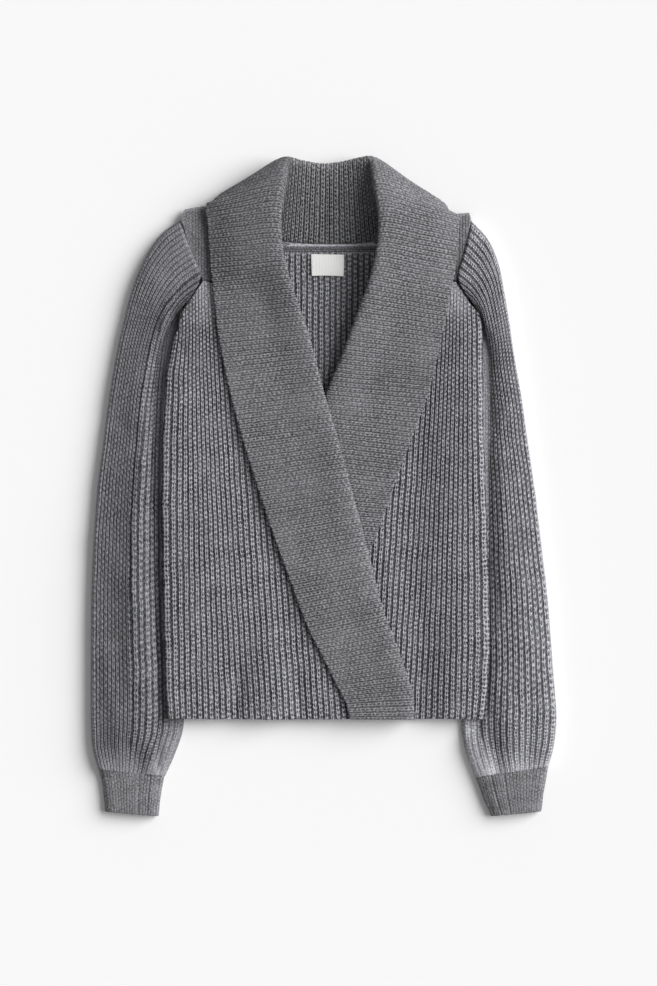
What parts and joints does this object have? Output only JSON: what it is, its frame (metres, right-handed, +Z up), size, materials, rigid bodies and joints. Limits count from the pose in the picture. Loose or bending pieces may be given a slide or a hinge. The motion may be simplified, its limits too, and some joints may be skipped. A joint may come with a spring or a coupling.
{
  "type": "sweater",
  "caption": "Grey rib-knit wrap-front sweater with a wide shawl collar and plain cuffs, laid flat with its front up.",
  "frame": {"origin": "middle of the laid-flat outline on the surface that the sweater rests on", "axes": "+Z up out of the front, +Y toward the neck, +X toward the viewer's right"},
  "size_m": [0.4949, 0.6977, 0.0441],
  "materials": {
    "rib_knit": "matte",
    "back_knit": "matte",
    "sleeve_knit": "matte",
    "collar_knit": "matte",
    "cuff_knit": "matte",
    "yoke_knit": "matte",
    "tape_knit": "matte",
    "label_satin": "matte"
  },
  "bodies": {
    "root": {"front_left": "rib_knit", "front_right": "rib_knit", "back": "back_knit", "sleeve_left": "sleeve_knit", "sleeve_right": "sleeve_knit", "cuff_left": "cuff_knit", "cuff_right": "cuff_knit", "yoke_left": "yoke_knit", "yoke_right": "yoke_knit", "collar_left": "collar_knit", "collar_right": "collar_knit", "neck_tape": "tape_knit", "neck_label": "label_satin"}
  },
  "joints": []
}
